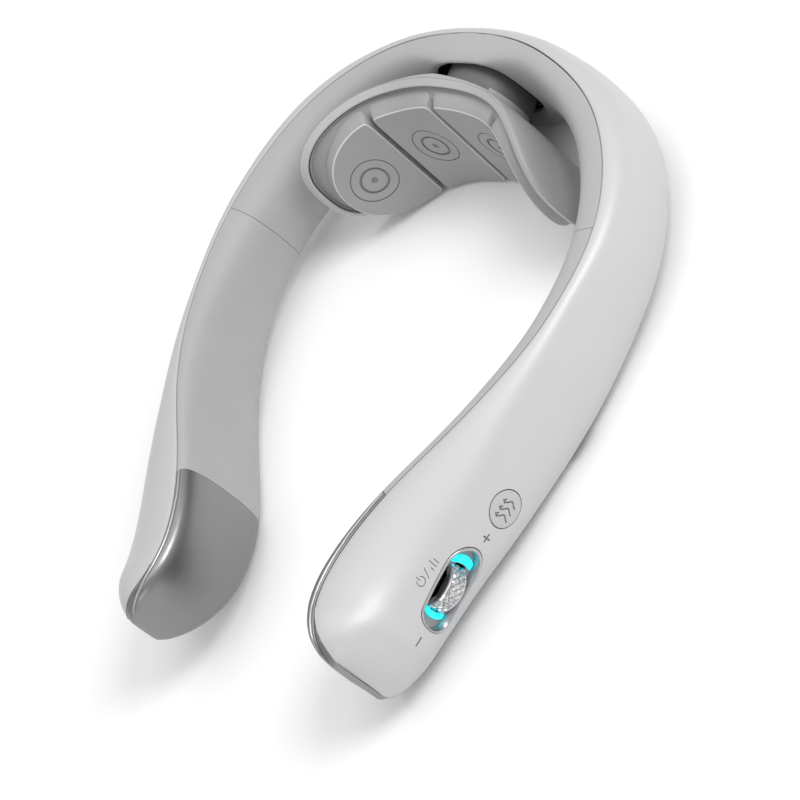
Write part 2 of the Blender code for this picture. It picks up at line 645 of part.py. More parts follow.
# Circuit board and its frame behind the controls.
bo, bt, bn = skin(165.0, 17.0, 16.1)
slab("main_board", bo, bt, Z, bn, 44, 15, 1.0, BOARD, right)
board = bpy.data.objects["main_board"]
frame_o = slab("board_frame", bo - bn*2.4, bt, Z, bn, 44, 12, 1.0, NYLON, right)
for k, along in enumerate((-18.5, 18.5)):
    cc = bo + bt*along
    cut(board, cutter(rod("board_hole_%d" % k, cc - bn*2, bn, 1.2, 4, 14, None, right)))
    cut(frame_o, cutter(build("board_post_%d" % k, *lofted([circle(cc + bn*d, bt, Z, 2.4, 16) for d in (-2.4, -0.8)],
                                                              [circle(cc + bn*d, bt, Z, 1.1, 16) for d in (-2.4, -0.8)]), None, right)), "UNION")
    build("board_screw_%d" % (k + 1), *sweep_body([circle(cc + bn*d, bt, Z, r, 14) for d, r in ((-1.7, 0.8), (0.79, 0.8), (0.8, 1.8), (1.8, 1.8))]), STEEL, right)

# Charging socket in the lower edge of the +X arm.
cu = 122.0 / HALF_LENGTH
ct, cn = frame(cu)
cp = band(cu, station(cu, 2) + 3.0, 0.0)
port_out = [stadium(cp + Z*z, ct, cn, 9.0, 3.3, 6) for z in (2.6, 9.6)]
port_in = [stadium(cp + Z*z, ct, cn, 8.0, 2.3, 6) for z in (2.6, 9.6)]
build("charging_socket", *lofted(port_out, port_in), STEEL, right)
cut(shell_r, cutter(build("socket_cutter", *sweep_body([stadium(cp + Z*z, ct, cn, 9.8, 4.1, 6) for z in (-3, 9.0)]), None, right)))

# ------------------------------------------------------------------ battery side (-X arm)
lo_, lt, ln = skin(161.0, 17.5, 12.6, side=-1.0)
rod("battery_cell", lo_ - lt*20, lt, 6.5, 40, 24, WRAP, left)
slab("battery_cradle", lo_ + ln*7.9, lt, Z, ln, 38, 11, 1.4, NYLON, left)
co, ctt, cnn = skin(128.0, 17.0, 6.4, side=-1.0)
slab("charge_board", co, ctt, Z, cnn, 15, 12, 0.9, BOARD, left)

# Everything hangs from the rear body, so the layout datum moves to the middle of the outline.
rear.location.y += ORIGIN_Y * MM
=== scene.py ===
"""The looks of the neck massager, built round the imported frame.

Lengths are in millimetres in the same layout as the part (origin at the rear liner path) and
are carried to the row frame, in metres, when a mesh is made.
"""
import json
import math

import bmesh
import bpy
from mathutils import Matrix, Vector


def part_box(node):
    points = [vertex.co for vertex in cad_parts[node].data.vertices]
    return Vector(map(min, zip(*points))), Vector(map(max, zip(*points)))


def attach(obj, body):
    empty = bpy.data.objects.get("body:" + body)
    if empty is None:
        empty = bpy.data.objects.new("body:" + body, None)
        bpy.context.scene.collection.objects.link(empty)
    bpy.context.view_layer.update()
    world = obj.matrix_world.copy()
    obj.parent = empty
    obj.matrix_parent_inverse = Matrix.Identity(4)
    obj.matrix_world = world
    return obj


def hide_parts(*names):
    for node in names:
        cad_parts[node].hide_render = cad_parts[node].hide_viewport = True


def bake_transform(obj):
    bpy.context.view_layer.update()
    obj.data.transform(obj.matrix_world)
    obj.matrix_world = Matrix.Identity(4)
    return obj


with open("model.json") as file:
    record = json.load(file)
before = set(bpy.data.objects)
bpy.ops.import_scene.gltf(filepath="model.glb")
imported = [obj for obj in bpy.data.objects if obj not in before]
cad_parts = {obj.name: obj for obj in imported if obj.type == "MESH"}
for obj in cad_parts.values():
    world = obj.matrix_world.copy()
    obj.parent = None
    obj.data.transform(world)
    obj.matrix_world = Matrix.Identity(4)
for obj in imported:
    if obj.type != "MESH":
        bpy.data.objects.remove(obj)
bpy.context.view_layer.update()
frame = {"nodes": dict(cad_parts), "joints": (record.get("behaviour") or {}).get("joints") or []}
NODES = frame["nodes"]

MM = 0.001
ORIGIN_Y = 81.8
HALF_LENGTH = 205.0
STATIONS = (
    (0, -5.5, 2.5, 7.5, -0.5, 34.0, 2.0),
    (29, -3.0, 5.0, 10.5, 3.0, 33.5, 1.5),
    (54, -0.5, 9.5, 17.0, 5.0, 31.0, 0.5),
    (76, 0.0, 10.5, 16.5, 5.0, 29.5, -0.5),
    (95, 0.0, 8.0, 13.0, 3.0, 30.5, -1.0),
    (113, 0.0, 5.5, 15.5, 0.5, 32.5, -1.0),
    (123, 0.0, 4.5, 23.5, -0.5, 33.5, -0.5),
    (112, 0.5, 7.5, 28.5, -0.5, 34.5, -0.5),
    (82, 2.0, 13.0, 28.5, 1.5, 36.5, 0.0),
    (60, 4.0, 20.0, 27.0, 6.0, 38.0, 0.0),
)
FLAT = 0.35
OUTER_POWER = 2 / 2.3
INNER_POWER = 0.55
SEAM_S = 80.8
ELECTRODE_S = 160.3
TIP_END = {1: 214.5, -1: 208.0}
NOSE_OUTER, NOSE_INNER, RISE_S = 25.0, 54.0, 158.0
CORNER = {1: 0.0, -1: 0.8}
CAP = 1.0                     # how far the electrode laps past the end of the outer shell
SLOT_HALF, SLOT_Z = (15.8, 13.4), 19.2
STEM_HALF, STEM_Z, STEM_WALL, STEM_END_Y = (12.5, 11.8), 18.6, 1.6, -1.6
HEAD_Y, HEAD_Z, HEAD_CROWN, HEAD_HALF, HEAD_END = -14.0, (0.2, 39.2), 1.8, 54.2, 24.8
HEAD_BEND = ((0, 0), (8, 2), (14, 10), (33, 44), (44, 54), (58, 63))
CONTROL_S, CONTROL_Z, CONTROL_TILT = 166.4, 15.6, math.radians(-6.0)
WHEEL_R, WHEEL_PROUD = 6.5, 1.5
HEAT_S, HEAT_Z, HEAT_R = 142.8, 15.7, 4.9


# ------------------------------------------------------------------------------ materials
def new_material(name):
    m = bpy.data.materials.new(name)
    m.use_nodes = True
    nt = m.node_tree
    return m, nt, nt.nodes["Principled BSDF"]


def noise(nt, scale, detail=3.0, rough=0.5, coord="Object"):
    tc = nt.nodes.new("ShaderNodeTexCoord")
    n = nt.nodes.new("ShaderNodeTexNoise")
    n.inputs["Scale"].default_value = scale
    n.inputs["Detail"].default_value = detail
    n.inputs["Roughness"].default_value = rough
    nt.links.new(tc.outputs[coord], n.inputs["Vector"])
    return n


def ramp(nt, src, stops):
    r = nt.nodes.new("ShaderNodeValToRGB")
    while len(r.color_ramp.elements) < len(stops):
        r.color_ramp.elements.new(0.5)
    for e, (p, c) in zip(r.color_ramp.elements, stops):
        e.position = p
        e.color = (*c, 1.0) if len(c) == 3 else c
    nt.links.new(src, r.inputs[0])
    return r


def span(nt, src, lo, hi):
    m = nt.nodes.new("ShaderNodeMapRange")
    m.inputs["To Min"].default_value = lo
    m.inputs["To Max"].default_value = hi
    nt.links.new(src, m.inputs["Value"])
    return m


def bump(nt, b, src, strength, dist):
    n = nt.nodes.new("ShaderNodeBump")
    n.inputs["Strength"].default_value = strength
    n.inputs["Distance"].default_value = dist
    nt.links.new(src, n.inputs["Height"])
    nt.links.new(n.outputs["Normal"], b.inputs["Normal"])


def plastic(name, rgb, rough, fine, amount, vary=0.03, coat=0.0, coat_rough=0.2, sheen=0.0, metal=0.0, spread_r=0.05):
    """Moulded surface: broad colour drift, fine grain, and roughness that follows the drift."""
    m, nt, b = new_material(name)
    broad = noise(nt, 38, 4)
    grain = noise(nt, fine, 5, 0.65)
    c0 = tuple(max(0, c * (1 - vary)) for c in rgb)
    c1 = tuple(min(1, c * (1 + vary)) for c in rgb)
    nt.links.new(ramp(nt, broad.outputs["Fac"], ((0.3, c0), (0.7, c1))).outputs["Color"], b.inputs["Base Color"])
    nt.links.new(span(nt, grain.outputs["Fac"], rough - spread_r, rough + spread_r).outputs["Result"], b.inputs["Roughness"])
    b.inputs["Metallic"].default_value = metal
    b.inputs["Coat Weight"].default_value = coat
    b.inputs["Coat Roughness"].default_value = coat_rough
    b.inputs["Sheen Weight"].default_value = sheen
    bump(nt, b, grain.outputs["Fac"], amount, 0.00006)
    return m


PEARL = plastic("pearl_shell", (0.53, 0.53, 0.534), 0.44, 5200, 0.05, 0.012, coat=0.14, coat_rough=0.3, metal=0.12, spread_r=0.03)
LINER = plastic("liner_silicone", (0.40, 0.40, 0.405), 0.62, 2600, 0.35, 0.03, sheen=0.12)
# Darker grey for the stem where it enters the band's slot: painted shade on the stem.
STEM_PAINTED_SHADE = plastic("stem_grey_painted_shade", (0.13, 0.13, 0.132), 0.5, 3000, 0.2, 0.03)
# The rim band takes a lighter copy of the head grey: painted highlight along the rim.
RIM_PAINTED_HIGHLIGHT = plastic("rim_grey_painted_highlight", (0.47, 0.47, 0.475), 0.44, 3800, 0.14, 0.02)
HEADG = plastic("head_grey", (0.36, 0.36, 0.365), 0.46, 3800, 0.16, 0.02)
TRAYG = plastic("tray_grey", (0.27, 0.27, 0.275), 0.5, 3600, 0.2, 0.025)
PADG = plastic("pad_grey", (0.335, 0.335, 0.34), 0.48, 3400, 0.22, 0.025)
BUTTON = plastic("button_pearl", (0.47, 0.47, 0.475), 0.40, 5200, 0.05, 0.012, coat=0.2, metal=0.2)
INK = plastic("engraved_grey", (0.16, 0.16, 0.165), 0.6, 4000, 0.2, 0.05)
# Light grey on the rounded edge of each pad face: painted highlight along the pad edges.
PAD_EDGE_PAINTED_HIGHLIGHT = plastic("pad_edge_painted_highlight", (0.62, 0.62, 0.625), 0.35, 3400, 0.1, 0.02)
HINK = plastic("button_ink", (0.24, 0.24, 0.245), 0.5, 4000, 0.2, 0.04)
EMBLEM = plastic("engraved_pad", (0.21, 0.21, 0.215), 0.55, 4000, 0.2, 0.05)
DARK = plastic("dark_inside", (0.02, 0.02, 0.021), 0.6, 2000, 0.2, 0.1)
FLOORM = plastic("pocket_grey", (0.30, 0.295, 0.295), 0.35, 3000, 0.1, 0.04)
NYLON = plastic("black_nylon", (0.035, 0.035, 0.037), 0.5, 2400, 0.3, 0.15)
WRAP = plastic("cell_wrap", (0.10, 0.22, 0.55), 0.35, 900, 0.2, 0.12, coat=0.4)
AMBER = plastic("heater_film", (0.55, 0.26, 0.04), 0.35, 700, 0.2, 0.2)
BOARD = plastic("circuit_board", (0.02, 0.17, 0.08), 0.42, 1200, 0.3, 0.25, coat=0.3)
STEELP = plastic("plain_steel", (0.42, 0.42, 0.44), 0.32, 1800, 0.2, 0.08, metal=1.0)

# Blasted satin metal of the contact tips: a fine grain, slightly drawn out along the arm.
STEEL, nt, b = new_material("satin_metal")
b.inputs["Metallic"].default_value = 1.0
drift = noise(nt, 26, 3)
nt.links.new(ramp(nt, drift.outputs["Fac"], ((0.3, (0.255, 0.255, 0.258)), (0.7, (0.285, 0.285, 0.288)))).outputs["Color"], b.inputs["Base Color"])
tc = nt.nodes.new("ShaderNodeTexCoord")
mp = nt.nodes.new("ShaderNodeMapping")
mp.inputs["Scale"].default_value = (4200, 900, 4200)
nt.links.new(tc.outputs["Object"], mp.inputs["Vector"])
g = nt.nodes.new("ShaderNodeTexNoise")
g.inputs["Scale"].default_value = 1.0
g.inputs["Detail"].default_value = 4.0
nt.links.new(mp.outputs["Vector"], g.inputs["Vector"])
nt.links.new(span(nt, g.outputs["Fac"], 0.30, 0.42).outputs["Result"], b.inputs["Roughness"])
bump(nt, b, g.outputs["Fac"], 0.10, 0.00004)

CHROME = plastic("wheel_chrome", (0.56, 0.56, 0.57), 0.13, 1500, 0.06, 0.03, metal=1.0, spread_r=0.04)
RING = plastic("bezel_metal", (0.46, 0.46, 0.47), 0.34, 1800, 0.05, 0.03, metal=1.0, spread_r=0.04)

CYAN, nt, b = new_material("cyan_diffuser")
n = noise(nt, 260, 2)
b.inputs["Base Color"].default_value = (0.0, 0.45, 0.5, 1)
b.inputs["Roughness"].default_value = 0.35
nt.links.new(ramp(nt, n.outputs["Fac"], ((0.25, (0.0, 0.80, 0.95)), (0.75, (0.0, 0.90, 1.0)))).outputs["Color"], b.inputs["Emission Color"])
b.inputs["Emission Strength"].default_value = 0.95

for node, mat in (("spring_strip", STEELP), ("guide_plate", NYLON), ("return_spring", STEELP), ("rear_screw_right", STEELP),
                  ("rear_screw_left", STEELP), ("slide_carrier", NYLON), ("tilt_pin", STEELP), ("heater_film", AMBER),
                  ("head_board", BOARD), ("wheel_switch", NYLON), ("heat_switch", NYLON), ("main_board", BOARD),
                  ("board_frame", NYLON), ("board_screw_1", STEELP), ("board_screw_2", STEELP), ("wheel_carrier", NYLON),
                  ("wheel_axle", STEELP), ("battery_cell", WRAP), ("battery_cradle", NYLON), ("charge_board", BOARD)):
    me = NODES[node].data
    me.materials.clear()
    me.materials.append(mat)


# -------------------------------------------------------------------------- path and sections
def station(u, k):
    a = abs(u) * 8
    i = min(int(a), len(STATIONS) - 2)
    t = a - i

    def row(q):
        if q < 0:
            return -STATIONS[-q][k] if k == 0 else STATIONS[-q][k]
        return STATIONS[min(q, len(STATIONS) - 1)][k]

    p0, p1, p2, p3 = row(i - 1), row(i), row(i + 1), row(i + 2)
    m1, m2 = (p2 - p0) / 2, (p3 - p1) / 2
    t2, t3 = t * t, t * t * t
    return (2*t3 - 3*t2 + 1)*p1 + (t3 - 2*t2 + t)*m1 + (-2*t3 + 3*t2)*p2 + (t3 - t2)*m2


STEP = 1 / 800
PATH = [(0.0, 0.0)]
for k in range(int(1.1 / STEP)):
    h = math.radians(station((k + 0.5) * STEP, 0))
    px, py = PATH[-1]
    PATH.append((px + math.cos(h) * STEP * HALF_LENGTH, py - math.sin(h) * STEP * HALF_LENGTH))


def path(u):
    a = min(abs(u) / STEP, len(PATH) - 1.001)
    i = int(a)
    t = a - i
    return (PATH[i][0]*(1 - t) + PATH[i + 1][0]*t, PATH[i][1]*(1 - t) + PATH[i + 1][1]*t)


def band(s, n, z, side):
    """Point at length s along the half path, offset n outward, height z."""
    u = s / HALF_LENGTH
    x, y = path(u)
    h = math.radians(station(u, 0))
    return Vector((side * (x + n * math.sin(h)), y + n * math.cos(h), z))


def fade(v, lo, hi, power):
    if v <= lo:
        return 1.0
    return max(0.0, 1 - ((v - lo) / (hi - lo)) ** power) ** (1 / power)


def profile(s, side):
    """Everything a section needs at length s."""
    u = s / HALF_LENGTH
    inner, part, outer, lo, hi, lean = (station(u, k) for k in range(1, 7))
    lo += 3.2 * math.exp(-((s - 34) / 17.0) ** 2)
    end = TIP_END[side]
    rise = 0.0
    if s > RISE_S:
        rise = 1.8 * (1 - math.sqrt(max(0.0, 1 - ((s - RISE_S) / (end + 1 - RISE_S)) ** 2)))
    zc, h = (lo + hi) / 2, (hi - lo) / 2 * fade(s, end - 24, end + 2.0, 3.0)
    hl = h
    if side < 0:
        v = max(0.0, min(1.0, (s - 136) / (end + 0.8 - 136)))
        hl, rise = (hi - lo) / 2 * max(0.03, (1 - v ** 1.5) ** (1 / 1.5)), 0.0
    return dict(inner=inner, part=part, outer=outer, zc=zc, h=h, hl=hl,
                lean=lean, rise=min(rise, 0.9), keep=CORNER[side],
                close_o=fade(s, end - NOSE_OUTER, end + 0.8, 2.4), close_i=fade(s, end - NOSE_INNER, end + 0.8, 1.55))


def half_section(s, side, half, K, inset=0.0, back=0.0, lip=0.0, least=None, most=None):
    """Points from the top edge to the bottom edge, evenly spread, with a rounded lip at each edge."""
    p = profile(s, side)
    power = OUTER_POWER if half > 0 else INNER_POWER - 0.27 * math.exp(-(s / 15.0) ** 2)
    width = ((p["outer"] - p["part"]) * p["close_o"] if half > 0 else (p["part"] - p["inner"]) * p["close_i"]) - inset - back
    width = max(0.25, width)
    h = max(0.4, p["h"] - inset)
    pts = []
    for q in range(2 * K + 1):
        t = q / K if q <= K else (2 * K - q) / K
        phi = math.pi/2 * t ** (1 / power)
        share = math.sin(phi) ** power if t > 0 else 0.0
        sz = max(0.0, math.cos(phi)) ** OUTER_POWER * (1 if q <= K else -1)
        low = h
        if sz < 0:
            low = max(0.2, p["hl"] - inset) if side < 0 else low
            low = low * (1 - p["rise"] * (p["keep"] if half > 0 else p["keep"] + (1 - p["keep"]) * share))
        z = p["zc"] + low * sz
        off = back + width * share
        if least is not None:
            off = max(off, least)
        if most is not None:
            off = min(off, most)
        n = p["part"] + half * off + p["lean"] * sz / 2
        pts.append([n, max(z, FLAT) - FLAT])
    if lip > 0:
        lip = min(lip, 0.3 * width)
        n0, z0 = pts[0]
        n1, z1 = pts[-1]
        body = [[half * max(half * n, half * n0 + lip * 1.02), z] if q < K else [half * max(half * n, half * n1 + lip * 1.02), z]
                for q, (n, z) in enumerate(pts)][1:-1]
        pts = ([[n0, z0 - lip], [n0 + half*lip*0.3, z0 - lip*0.3], [n0 + half*lip, z0 - lip*0.02]] + body
               + [[n1 + half*lip, z1 + lip*0.02], [n1 + half*lip*0.3, z1 + lip*0.3], [n1, z1 + lip]])
    return [band(s, n, z, side) for n, z in pts]


# ------------------------------------------------------------------------------ mesh building
def make(name, verts, faces, mats, sharp=40.0, index=None):
    me = bpy.data.meshes.new(name)
    me.from_pydata([((v[0]) * MM, (v[1] + ORIGIN_Y) * MM, v[2] * MM) for v in verts], [], [tuple(f) for f in faces])
    me.validate()
    bm = bmesh.new()
    bm.from_mesh(me)
    bmesh.ops.remove_doubles(bm, verts=bm.verts, dist=2e-6)
    bmesh.ops.recalc_face_normals(bm, faces=bm.faces)
    bm.to_mesh(me)
    bm.free()
    for m in (mats if isinstance(mats, (list, tuple)) else [mats]):
        me.materials.append(m)
    me.shade_smooth()
    me.set_sharp_from_angle(angle=math.radians(sharp))
    o = bpy.data.objects.new(name, me)
    bpy.context.scene.collection.objects.link(o)
    return o


def loops_solid(loops, closed=False):
    """Solid through closed outlines."""
    verts, faces, m = [], [], len(loops[0])
    for r in loops:
        verts.extend(r)
    n = len(loops)
    for k in range(n if closed else n - 1):
        a, b2 = k * m, ((k + 1) % n) * m
        for j in range(m):
            q = (j + 1) % m
            faces.append((a + j, a + q, b2 + q, b2 + j))
    if not closed:
        faces.append(tuple(range(m)))
        faces.append(tuple(range((n - 1) * m, n * m)))
    return verts, faces


def volume(me):
    bm = bmesh.new()
    bm.from_mesh(me)
    v = abs(bm.calc_volume(signed=True))
    bm.free()
    return v


def cut(o, tools, sharp=40.0, least=0.6, strict=True):
    """Removes each tool from o in turn. A cut that would lose the body is left out and named."""
    for t in tools:
        before = volume(o.data)
        for solver in ("EXACT", "FAST"):
            m = o.modifiers.new("cut", "BOOLEAN")
            m.object, m.operation, m.solver = t, "DIFFERENCE", solver
            dg = bpy.context.evaluated_depsgraph_get()
            me = bpy.data.meshes.new_from_object(o.evaluated_get(dg))
            o.modifiers.clear()
            if least * before < volume(me) < (before - 2e-11 if strict else before * 10) and len(me.polygons) != len(o.data.polygons):
                old = o.data
                o.data = me
                bpy.data.meshes.remove(old)
                break
            bpy.data.meshes.remove(me)
            print("CUT LEFT OUT", o.name, t.name, solver)
        bpy.data.objects.remove(t, do_unlink=True)
    o.data.set_sharp_from_angle(angle=math.radians(sharp))
    return o


def split(s, side):
    """How far the contact tip wraps past the parting line, near the end of the arm."""
    v = max(0.0, min(1.0, (s - (TIP_END[side] - 18)) / 18))
    return 1.9 * v * v * (3 - 2 * v)


def wall_band(name, side, half, s_list, K, wall, back, mats, lip=0.28):
    """Wall of the band between two lengths, closed at both ends."""
    loops = []
    for s in s_list:
        c = split(s, side) if half > 0 else 0.0
        if c > 0.02:
            O = half_section(s, side, half, K + 2, 0, back, 0.0, c)
        else:
            O = half_section(s, side, half, K, 0, back, lip)
        I = half_section(s, side, half, K + 2, wall, back, 0.0, c)
        loops.append(O + list(reversed(I)))
    return make(name, *loops_solid(loops), mats)


def steps(lo, hi, d):
    n = max(1, int(round((hi - lo) / d)))
    return [lo + (hi - lo) * k / n for k in range(n + 1)]


def nose(lo, hi, d, fine=24.0, n=22):
    return steps(lo, hi - fine, d)[:-1] + [hi - fine + fine * math.sin(math.pi/2 * k / n) for k in range(n + 1)]


for side in (1, -1):
    a = band(SEAM_S - 17, 8.0, 17, side)
    c = band(SEAM_S + 17, 8.0, 17, side)
ARM = {1: "right_arm", -1: "left_arm"}
TAG = {1: "right", -1: "left"}


def across(o, side, *nodes, slot=None):
    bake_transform(o)
    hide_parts(*nodes)


def riding(o, body, *nodes, slot=None):
    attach(o, body)
    if nodes:
        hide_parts(*nodes)
    return o


# --------------------------------------------------- the outer skin, near the controls
def skin_point(s, z):
    """Point on the +X arm's outer skin."""
    p = profile(s, 1)
    raw = z + FLAT
    t = max(-1.0, min(1.0, (raw - p["zc"]) / p["h"]))
    sz = t
    sn = min(1.0, abs(t)) ** (1 / OUTER_POWER)
    share = math.sqrt(max(0.0, 1 - sn * sn)) ** OUTER_POWER
    n = p["part"] + max(0.25, (p["outer"] - p["part"]) * p["close_o"]) * share + p["lean"] * sz / 2
    return band(s, n, z, 1)


def patch(s0, z0, tilt=0.0):
    """Function (a, b, lift) -> point, on the skin round (s0, z0): a toward the tip, b downward."""
    ds = (skin_point(s0 + 0.5, z0) - skin_point(s0 - 0.5, z0)).length
    dz = (skin_point(s0, z0 + 0.5) - skin_point(s0, z0 - 0.5)).length
    c, sn = math.cos(tilt), math.sin(tilt)

    def at(a, b2, lift=0.0):
        a2, b3 = a * c + b2 * sn, b2 * c - a * sn
        s, z = s0 + a2 / ds, z0 - b3 / dz
        p = skin_point(s, z)
        if lift:
            n = (skin_point(s + 0.3, z) - skin_point(s - 0.3, z)).cross(skin_point(s, z + 0.3) - skin_point(s, z - 0.3)).normalized()
            if n.x < 0:
                n = -n
            p = p + n * lift
        return p
    return at


def stadium2(length, width, n):
    r, half = width / 2, (length - width) / 2
    pts = []
    for sd in (1, -1):
        for k in range(n):
            a = -math.pi/2 + math.pi * k / (n - 1)
            pts.append((sd * (half + r * math.cos(a)), sd * r * math.sin(a)))
    out = []
    for k in range(len(pts)):
        (x0, y0), (x1, y1) = pts[k], pts[(k + 1) % len(pts)]
        d = math.hypot(x1 - x0, y1 - y0)
        m = max(1, int(d / 1.0))
        out += [(x0 + (x1 - x0) * j / m, y0 + (y1 - y0) * j / m) for j in range(m)]
    return out


def inked(o):
    """The faces this tool leaves behind take the second material of the body it cuts."""
    for f in o.data.polygons:
        f.material_index = 1
    return o


def ribbon_tool(at, pts, width, depth, mat, closed=False):
    """A groove cutter that follows a line on a patch."""
    n = len(pts)
    loops = []
    for k, (a, b2) in enumerate(pts):
        if closed:
            (x0, y0), (x1, y1) = pts[k - 1], pts[(k + 1) % n]
        else:
            (x0, y0), (x1, y1) = pts[max(0, k - 1)], pts[min(n - 1, k + 1)]
        L = math.hypot(x1 - x0, y1 - y0) or 1.0
        nx, ny = -(y1 - y0) / L * width / 2, (x1 - x0) / L * width / 2
        loops.append([at(a + nx, b2 + ny, 0.5), at(a - nx, b2 - ny, 0.5), at(a - nx * 0.7, b2 - ny * 0.7, -depth), at(a + nx * 0.7, b2 + ny * 0.7, -depth)])
    return inked(make("tool", *loops_solid(loops, closed), [mat, mat]))


def line(x0, y0, x1, y1, n=4):
    return [(x0 + (x1 - x0) * k / n, y0 + (y1 - y0) * k / n) for k in range(n + 1)]


CTRL = patch(CONTROL_S, CONTROL_Z, CONTROL_TILT)
HEAT = patch(HEAT_S, HEAT_Z)

# ------------------------------------------------------------------------- outer shells
for side in (1, -1):
    end = TIP_END[side]
    s_shell = nose(0.0, end + 0.25, 1.5, 26.0, 26)
    tag = TAG[side]
    shell = wall_band("outer_shell_" + tag, side, 1, s_shell, 18, 1.6, 0.0, [PEARL, INK])
    if side == 1:
        tools = []
        st = [(a + 1.05, b2) for a, b2 in stadium2(23.9, 11.5, 16)]
        tools.append(make("tool", *loops_solid([[CTRL(a, b2, L) for a, b2 in st] for L in (-6, 3)]), PEARL))
        tools.append(make("tool", *loops_solid([[HEAT((HEAT_R + 0.22) * math.cos(q), (HEAT_R + 0.22) * math.sin(q), L)
                                                  for q in [2*math.pi*k/64 for k in range(64)]] for L in (-6, 3)]), PEARL))
        # charging opening in the lower edge
        cs = 122.0
        cp = band(cs, station(cs / HALF_LENGTH, 2) + 3.0, 0.0, 1)
        hh = math.radians(station(cs / HALF_LENGTH, 0))
        ct, cn = Vector((math.cos(hh), -math.sin(hh), 0)), Vector((math.sin(hh), math.cos(hh), 0))
        port = stadium2(9.8, 4.1, 12)
        tools.append(make("tool", *loops_solid([[cp + ct*a + cn*b2 + Vector((0, 0, z)) for a, b2 in port] for z in (-3, 9)]), PEARL))
        # engraved marks: plus, minus, power sign, stroke and pulse line
        plus = patch(150.1, 15.9)
        minus = patch(191.0, 16.0)
        tools.append(ribbon_tool(plus, line(-1.25, 0, 1.25, 0), 0.55, 0.22, INK))
        tools.append(ribbon_tool(plus, line(0, -1.25, 0, -0.27), 0.55, 0.22, INK))
        tools.append(ribbon_tool(plus, line(0, 0.27, 0, 1.25), 0.55, 0.22, INK))
        tools.append(ribbon_tool(minus, line(-1.3, 0, 1.3, 0), 0.55, 0.22, INK))
        pw = patch(169.6, 24.2)
        arc = [(1.15 * math.sin(q), -1.15 * math.cos(q)) for q in [math.radians(38 + 284 * k / 22) for k in range(23)]]
        tools.append(ribbon_tool(pw, arc, 0.28, 0.18, INK))
        tools.append(ribbon_tool(pw, line(0, -1.6, 0, -0.35), 0.28, 0.18, INK))
        sl = patch(166.6, 24.2)
        tools.append(ribbon_tool(sl, line(0.6, 1.3, -0.6, -1.3), 0.26, 0.18, INK))
        pu = patch(163.4, 24.2)
        for a0, top in ((1.05, 0.1), (0.0, -1.25), (-1.05, -0.55)):
            tools.append(ribbon_tool(pu, line(a0, 1.25, a0, top), 0.3, 0.18, INK))
        cut(shell, tools)
    across(shell, side, tag + "_arm_shell", "rear_outer_shell", slot="pearl_shell")

# ------------------------------------------------------------------------------- liners
for side in (1, -1):
    tag = TAG[side]
    s_rear = steps(0.0, SEAM_S - 0.06, 0.9)
    rear = wall_band("rear_liner_half_" + tag, side, -1, s_rear, 26, 1.4, 0.25, LINER)
    # The surface draws in round the oval slot, and the slot is then cut.
    for v in rear.data.vertices:
        x, y, z = v.co.x / MM, v.co.y / MM - ORIGIN_Y, v.co.z / MM
        if y < 1.5:                  # stands forward above the slot's middle
            w = max(0.0, min(1.0, (z - 13.0) / 12.0))
            y -= 3.8 * math.exp(-(x / 13.0) ** 2) * w * w * (3 - 2 * w) * min(1.0, (1.5 - y) / 4.0)
            v.co.y = (y + ORIGIN_Y) * MM
        if y < 3.0 and abs(x) < 32:
            e = (math.hypot(x / SLOT_HALF[0], (z - SLOT_Z) / SLOT_HALF[1]) - 1) * 13.0
            if e < 5.5:
                t = max(0.0, min(1.0, 1 - max(e, 0) / 5.5))
                v.co.y += (0.5 * t * t + 1.1 * max(0.0, 1 - max(e, 0) / 1.5) ** 2) * MM
    oval = [(SLOT_HALF[0] * math.cos(2*math.pi*k/96), SLOT_Z + SLOT_HALF[1] * math.sin(2*math.pi*k/96)) for k in range(96)]
    cut(rear, [make("tool", *loops_solid([[Vector((x, y, z)) for x, z in oval] for y in (-16, 1.5)]), LINER)], 50)
    across(rear, side, "rear_liner", slot="grey_silicone")
    arm = wall_band("arm_liner_" + tag + "_skin", side, -1, steps(SEAM_S + 0.06, ELECTRODE_S - 0.15, 1.1), 24, 1.4, 0.25, LINER)
    across(arm, side, tag + "_arm_liner", slot="grey_silicone")

    # Contact tip: closed body, with a bead along its upper edge, that laps round the arm's end.
    end = TIP_END[side]
    K = 26
    rings = []
    for s in nose(ELECTRODE_S, end - 6, 1.1, 18.0, 14) + [end - 6 + 6.7 * math.sin(math.pi/2 * k / 16) for k in range(1, 17)]:
        front = half_section(s, side, -1, K, 0, 0.25 if s < end - 18 else 0.05, 0.3)
        rear_pts = half_section(s, side, 1, K, 0.0, 0.0, 0.3, None, max(0.02, split(s, side) - 0.06))
        rings.append(front + list(reversed(rear_pts)))
    tip = make("contact_tip_" + tag, *loops_solid(rings), STEEL)
    bead = []
    for s in nose(ELECTRODE_S + 0.1, end - 1.6, 1.1, 24.0, 18):
        e = half_section(s, side, -1, 60, 0, 0.25, 0.3)
        c0, run = e[3], 0.0
        k2 = 3
        while run < 0.55:
            run += (e[k2 + 1] - e[k2]).length
            k2 += 1
        c0 = e[k2]
        tz = (band(s + 0.4, 0, 0, side) - band(s - 0.4, 0, 0, side)).normalized()
        w1 = (e[k2 + 1] - e[k2 - 1]).normalized()
        w2 = tz.cross(w1).normalized()
        r0 = 0.42 if s < end - 12 else 0.42 - 0.2 * (s - end + 12) / 12
        bead.append([c0 + (w1 * math.cos(q) + w2 * math.sin(q)) * r0 for q in [2 * math.pi * j / 10 for j in range(10)]])
    riding(make("tip_bead_" + tag, *loops_solid(bead), RING), ARM[side])
    riding(tip, ARM[side], tag + "_tip_electrode", slot="satin_steel")

# ------------------------------------------------------------------------ massage head
HSTEP = 0.25
HPATH = [(0.0, HEAD_Y)]


def bend(s):
    s = abs(s)
    for (a, pa), (c, pc) in zip(HEAD_BEND, HEAD_BEND[1:]):
        if s <= c:
            return math.radians(pa + (pc - pa) * (s - a) / (c - a))
    return math.radians(HEAD_BEND[-1][1])


